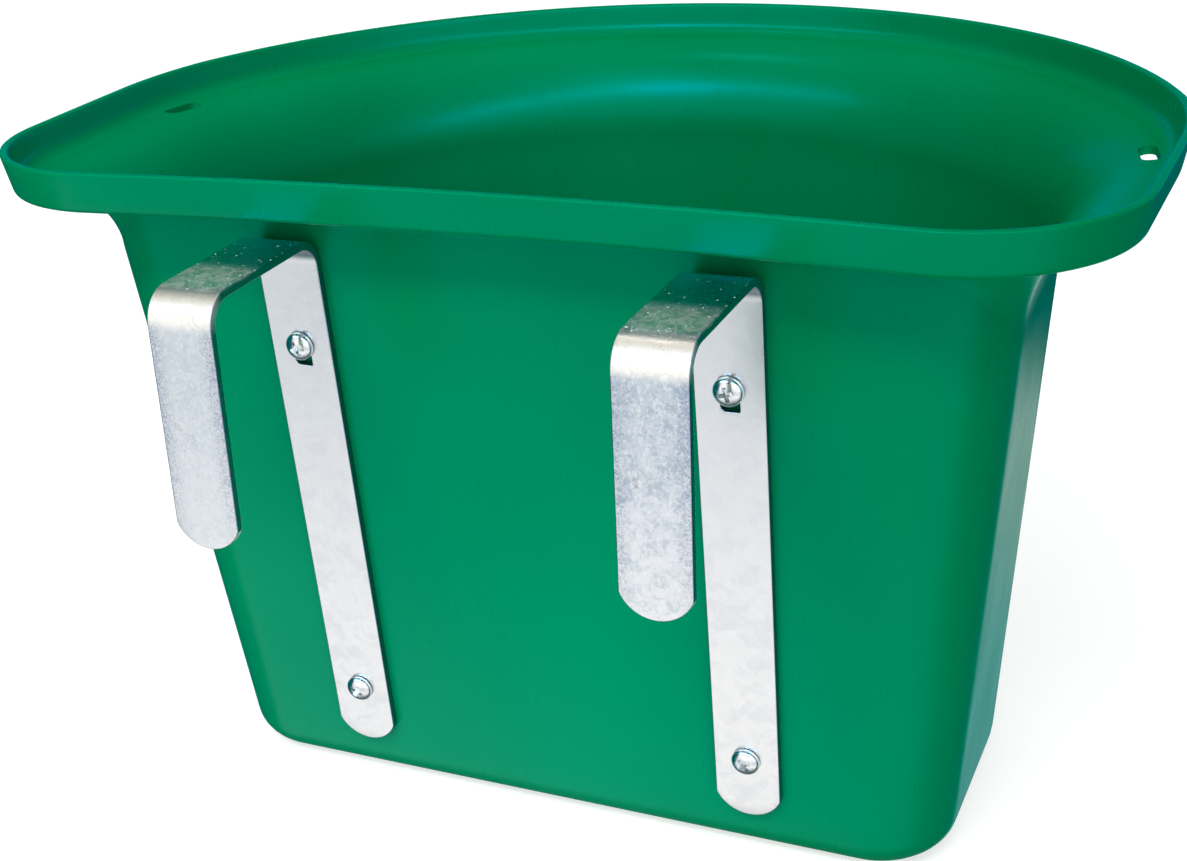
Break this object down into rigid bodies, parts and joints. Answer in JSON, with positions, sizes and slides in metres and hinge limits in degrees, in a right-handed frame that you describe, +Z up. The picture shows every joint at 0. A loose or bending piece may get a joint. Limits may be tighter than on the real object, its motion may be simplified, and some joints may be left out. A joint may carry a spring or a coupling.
{
  "type": "horse feeder",
  "caption": "Moulded D-shaped feed tub with a flared, lipped rim and two bolted steel straps that hook over a rail.",
  "frame": {"origin": "middle of the object's bounding box, on the surface that the base stands on", "axes": "+X along the rim's long side, +Y towards the rounded front and away from the hooks, +Z up out of the mouth"},
  "size_m": [0.4224, 0.3478, 0.2675],
  "materials": {
    "green_plastic": "satin moulded polypropylene",
    "zinc_strap": "zinc plated, faintly mottled",
    "zinc_fastener": "bright zinc plated",
    "nylon": "natural nylon"
  },
  "bodies": {
    "root": {"tub": "green_plastic", "hook_strap_left": "zinc_strap", "hook_strap_right": "zinc_strap", "screw_upper_left": "zinc_fastener", "screw_upper_right": "zinc_fastener", "screw_lower_left": "zinc_fastener", "screw_lower_right": "zinc_fastener", "washer_upper_left": "zinc_fastener", "washer_upper_right": "zinc_fastener", "washer_lower_left": "zinc_fastener", "washer_lower_right": "zinc_fastener", "lock_nut_upper_left": "zinc_fastener", "lock_nut_upper_right": "zinc_fastener", "lock_nut_lower_left": "zinc_fastener", "lock_nut_lower_right": "zinc_fastener", "nylon_insert_upper_left": "nylon", "nylon_insert_upper_right": "nylon", "nylon_insert_lower_left": "nylon", "nylon_insert_lower_right": "nylon"}
  },
  "joints": []
}
